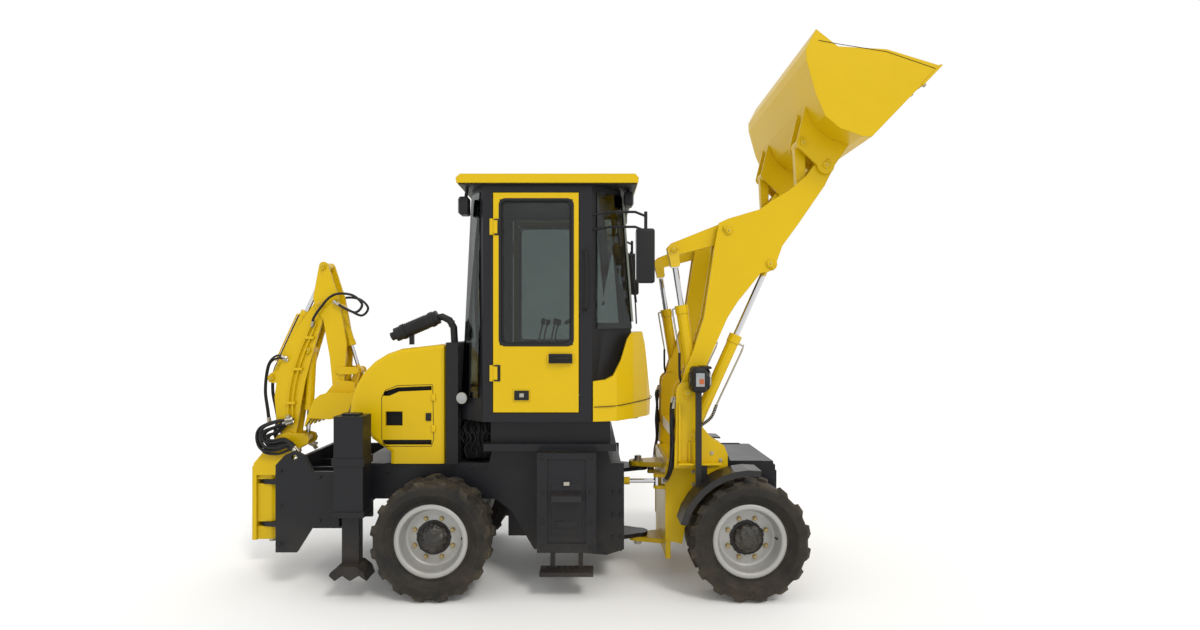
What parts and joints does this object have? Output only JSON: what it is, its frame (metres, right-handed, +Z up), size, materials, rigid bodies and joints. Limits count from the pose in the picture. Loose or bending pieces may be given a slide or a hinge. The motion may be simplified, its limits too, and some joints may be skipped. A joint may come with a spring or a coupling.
{
  "type": "articulated backhoe loader",
  "caption": "Small backhoe loader with a hinged frame, a closed cab, a raised front shovel and a folded digging arm behind.",
  "frame": {"origin": "middle of the machine's footprint on the ground", "axes": "+X to the front, +Y to the machine's left, +Z up"},
  "size_m": [4.9, 1.608, 3.7899],
  "materials": {
    "yellow": "gloss",
    "frame_black": "satin",
    "tyre": "matte",
    "rim": "satin",
    "glass": "clear",
    "chrome": "polished",
    "iron": "matte",
    "seat": "matte"
  },
  "bodies": {
    "rear_frame": {"rear_chassis": "frame_black", "hood": "yellow", "engine_block": "iron", "air_column": "frame_black", "cab_frame": "frame_black", "cab_interior": "frame_black", "cab_roof": "yellow", "windscreen": "glass", "rear_window": "glass", "front_cowl": "yellow", "seat": "seat", "rear_axle": "iron"},
    "front_frame": {"front_chassis": "yellow", "front_axle": "iron", "fender_right": "frame_black", "fender_left": "frame_black"},
    "loader_arms": {"loader_arms": "yellow"},
    "loader_bucket": {"loader_bucket": "yellow"},
    "tilt_cranks": {"tilt_crank_right": "yellow", "tilt_crank_left": "yellow"},
    "tilt_links": {"tilt_link_right": "yellow", "tilt_link_left": "yellow"},
    "tilt_barrels": {"tilt_barrel_right": "yellow", "tilt_barrel_left": "yellow"},
    "tilt_rods": {"tilt_rod_right": "chrome", "tilt_rod_left": "chrome"},
    "lift_barrels": {"lift_barrel_right": "yellow", "lift_barrel_left": "yellow"},
    "lift_rods": {"lift_rod_right": "chrome", "lift_rod_left": "chrome"},
    "swing_post": {"swing_post": "yellow"},
    "boom": {"boom": "yellow"},
    "dipper": {"dipper": "yellow"},
    "hoe_bucket": {"hoe_bucket": "yellow"},
    "rocker": {"bucket_rocker": "yellow"},
    "hoe_link": {"bucket_link": "yellow"},
    "boom_barrel": {"boom_barrel": "yellow"},
    "boom_rod": {"boom_rod": "chrome"},
    "dipper_barrel": {"dipper_barrel": "yellow"},
    "dipper_rod": {"dipper_rod": "chrome"},
    "bucket_barrel": {"bucket_barrel": "yellow"},
    "bucket_rod": {"bucket_rod": "chrome"},
    "door_right": {"door_right": "yellow", "door_glass_right": "glass"},
    "stabilizer_right": {"stabilizer_right": "frame_black"},
    "steer_barrel_right": {"steer_barrel_right": "yellow"},
    "steer_rod_right": {"steer_rod_right": "chrome"},
    "wheel_rear_right": {"tyre_rear_right": "tyre", "rim_rear_right": "rim"},
    "wheel_front_right": {"tyre_front_right": "tyre", "rim_front_right": "rim"},
    "door_left": {"door_left": "yellow", "door_glass_left": "glass"},
    "stabilizer_left": {"stabilizer_left": "frame_black"},
    "steer_barrel_left": {"steer_barrel_left": "yellow"},
    "steer_rod_left": {"steer_rod_left": "chrome"},
    "wheel_rear_left": {"tyre_rear_left": "tyre", "rim_rear_left": "rim"},
    "wheel_front_left": {"tyre_front_left": "tyre", "rim_front_left": "rim"}
  },
  "joints": [
    {"name": "articulation", "type": "hinge", "parent": "rear_frame", "child": "front_frame", "pos_m": [0.505, 0, 0.86], "axis": [0, 0, 1], "range_deg": [-30, 30]},
    {"name": "wheel_rear_right_spin", "type": "hinge", "parent": "rear_frame", "child": "wheel_rear_right", "pos_m": [-0.925, -0.65, 0.405], "axis": [0, 1, 0], "continuous": true},
    {"name": "wheel_rear_left_spin", "type": "hinge", "parent": "rear_frame", "child": "wheel_rear_left", "pos_m": [-0.925, 0.65, 0.405], "axis": [0, 1, 0], "continuous": true},
    {"name": "wheel_front_right_spin", "type": "hinge", "parent": "front_frame", "child": "wheel_front_right", "pos_m": [1.195, -0.65, 0.405], "axis": [0, 1, 0], "continuous": true},
    {"name": "wheel_front_left_spin", "type": "hinge", "parent": "front_frame", "child": "wheel_front_left", "pos_m": [1.195, 0.65, 0.405], "axis": [0, 1, 0], "continuous": true},
    {"name": "door_right_hinge", "type": "hinge", "parent": "rear_frame", "child": "door_right", "pos_m": [-0.542, -0.632, 1.18], "axis": [0, 0, -1], "range_deg": [0, 90]},
    {"name": "door_left_hinge", "type": "hinge", "parent": "rear_frame", "child": "door_left", "pos_m": [-0.542, 0.632, 1.18], "axis": [0, 0, 1], "range_deg": [0, 90]},
    {"name": "steer_barrel_right_swivel", "type": "hinge", "parent": "rear_frame", "child": "steer_barrel_right", "pos_m": [0.045, -0.27, 0.7], "axis": [0, 0, 1], "range_deg": [-6.44, 6.44]},
    {"name": "steer_rod_right_slide", "type": "slide", "parent": "steer_barrel_right", "child": "steer_rod_right", "axis": [1, 0, 0], "range_m": [-0.1423, 0.1423]},
    {"name": "steer_barrel_left_swivel", "type": "hinge", "parent": "rear_frame", "child": "steer_barrel_left", "pos_m": [0.045, 0.27, 0.7], "axis": [0, 0, 1], "range_deg": [-6.44, 6.44]},
    {"name": "steer_rod_left_slide", "type": "slide", "parent": "steer_barrel_left", "child": "steer_rod_left", "axis": [1, 0, 0], "range_m": [-0.1423, 0.1423]},
    {"name": "loader_lift", "type": "hinge", "parent": "front_frame", "child": "loader_arms", "pos_m": [0.805, 0, 1.38], "axis": [0, 1, 0], "range_deg": [0, 95]},
    {"name": "bucket_tilt", "type": "hinge", "parent": "loader_arms", "child": "loader_bucket", "pos_m": [1.765, 0, 2.95], "axis": [0, -1, 0], "range_deg": [-45, 50]},
    {"name": "tilt_crank_pivot", "type": "hinge", "parent": "loader_arms", "child": "tilt_cranks", "pos_m": [1.095, 0, 2.5], "axis": [0, -1, 0], "range_deg": [-14.5, 13.1]},
    {"name": "tilt_link_pivot", "type": "hinge", "parent": "loader_bucket", "child": "tilt_links", "pos_m": [1.605, 0, 3.104], "axis": [0, -1, 0], "range_deg": [-31.5, 28.4]},
    {"name": "tilt_barrel_pivot", "type": "hinge", "parent": "loader_arms", "child": "tilt_barrels", "pos_m": [0.85, 0, 1.5], "axis": [0, -1, 0], "range_deg": [-1.35, 1.45]},
    {"name": "tilt_rod_slide", "type": "slide", "parent": "tilt_barrels", "child": "tilt_rods", "axis": [-0.1525, 0, 0.9883], "range_m": [-0.0894, 0.099]},
    {"name": "lift_barrel_pivot", "type": "hinge", "parent": "front_frame", "child": "lift_barrels", "pos_m": [0.855, 0, 1.09], "axis": [0, 1, 0], "range_deg": [-0.5, 86.86]},
    {"name": "lift_rod_slide", "type": "slide", "parent": "lift_barrels", "child": "lift_rods", "axis": [0.4097, 0, 0.9122], "range_m": [-0.4159, 0.003]},
    {"name": "swing", "type": "hinge", "parent": "rear_frame", "child": "swing_post", "pos_m": [-2.335, 0, 0.5], "axis": [0, 0, 1], "range_deg": [-80, 80]},
    {"name": "boom_pivot", "type": "hinge", "parent": "swing_post", "child": "boom", "pos_m": [-2.175, 0, 0.975], "axis": [0, -1, 0], "range_deg": [0, 60]},
    {"name": "dipper_pivot", "type": "hinge", "parent": "boom", "child": "dipper", "pos_m": [-1.929, 0, 2.017], "axis": [0, -1, 0], "range_deg": [-0.5, 72.5]},
    {"name": "hoe_bucket_pivot", "type": "hinge", "parent": "dipper", "child": "hoe_bucket", "pos_m": [-1.795, 0, 1.4], "axis": [0, -1, 0], "range_deg": [0, 26]},
    {"name": "rocker_pivot", "type": "hinge", "parent": "dipper", "child": "rocker", "pos_m": [-1.78, 0, 1.5], "axis": [0, -1, 0], "range_deg": [-0.5, 24.21]},
    {"name": "hoe_link_pivot", "type": "hinge", "parent": "hoe_bucket", "child": "hoe_link", "pos_m": [-1.69, 0, 1.388], "axis": [0, -1, 0], "range_deg": [-23.98, 0.5]},
    {"name": "boom_barrel_pivot", "type": "hinge", "parent": "boom", "child": "boom_barrel", "pos_m": [-2.025, 0, 1.66], "axis": [0, -1, 0], "range_deg": [-3.86, 0.5]},
    {"name": "boom_rod_slide", "type": "slide", "parent": "boom_barrel", "child": "boom_rod", "axis": [-0.0507, 0, -0.9987], "range_m": [-0.003, 0.1109]},
    {"name": "dipper_barrel_pivot", "type": "hinge", "parent": "boom", "child": "dipper_barrel", "pos_m": [-2.31, 0, 1.44], "axis": [0, -1, 0], "range_deg": [-0.5, 17.3]},
    {"name": "dipper_rod_slide", "type": "slide", "parent": "dipper_barrel", "child": "dipper_rod", "axis": [0.4235, 0, 0.9059], "range_m": [-0.2334, 0.003]},
    {"name": "bucket_barrel_pivot", "type": "hinge", "parent": "dipper", "child": "bucket_barrel", "pos_m": [-1.805, 0, 1.985], "axis": [0, -1, 0], "range_deg": [-0.5, 1.31]},
    {"name": "bucket_rod_slide", "type": "slide", "parent": "bucket_barrel", "child": "bucket_rod", "axis": [0.2864, 0, -0.9581], "range_m": [-0.052, 0.003]},
    {"name": "stabilizer_right_slide", "type": "slide", "parent": "rear_frame", "child": "stabilizer_right", "axis": [0, 0, -1], "range_m": [0, 0.4]},
    {"name": "stabilizer_left_slide", "type": "slide", "parent": "rear_frame", "child": "stabilizer_left", "axis": [0, 0, -1], "range_m": [0, 0.4]}
  ],
  "couplings": [
    {"joint": "steer_barrel_right_swivel", "follows": "articulation", "ratio": 0.198},
    {"joint": "steer_rod_right_slide", "follows": "articulation", "m_per_rad": 0.266},
    {"joint": "steer_barrel_left_swivel", "follows": "articulation", "ratio": 0.198},
    {"joint": "steer_rod_left_slide", "follows": "articulation", "m_per_rad": -0.266},
    {"joint": "tilt_crank_pivot", "follows": "bucket_tilt", "ratio": -0.28},
    {"joint": "tilt_link_pivot", "follows": "bucket_tilt", "ratio": -0.62},
    {"joint": "tilt_barrel_pivot", "follows": "bucket_tilt", "ratio": 0.019},
    {"joint": "tilt_rod_slide", "follows": "bucket_tilt", "m_per_rad": 0.11},
    {"joint": "lift_barrel_pivot", "follows": "loader_lift", "ratio": 0.909},
    {"joint": "lift_rod_slide", "follows": "loader_lift", "m_per_rad": -0.249},
    {"joint": "dipper_pivot", "follows": "boom_pivot", "ratio": 1.2},
    {"joint": "rocker_pivot", "follows": "hoe_bucket_pivot", "ratio": 0.912},
    {"joint": "hoe_link_pivot", "follows": "hoe_bucket_pivot", "ratio": -0.903},
    {"joint": "boom_barrel_pivot", "follows": "boom_pivot", "ratio": -0.056},
    {"joint": "boom_rod_slide", "follows": "boom_pivot", "m_per_rad": 0.103},
    {"joint": "dipper_barrel_pivot", "follows": "boom_pivot", "ratio": 0.28},
    {"joint": "dipper_rod_slide", "follows": "boom_pivot", "m_per_rad": -0.22},
    {"joint": "bucket_barrel_pivot", "follows": "hoe_bucket_pivot", "ratio": 0.031},
    {"joint": "bucket_rod_slide", "follows": "hoe_bucket_pivot", "m_per_rad": -0.108}
  ]
}
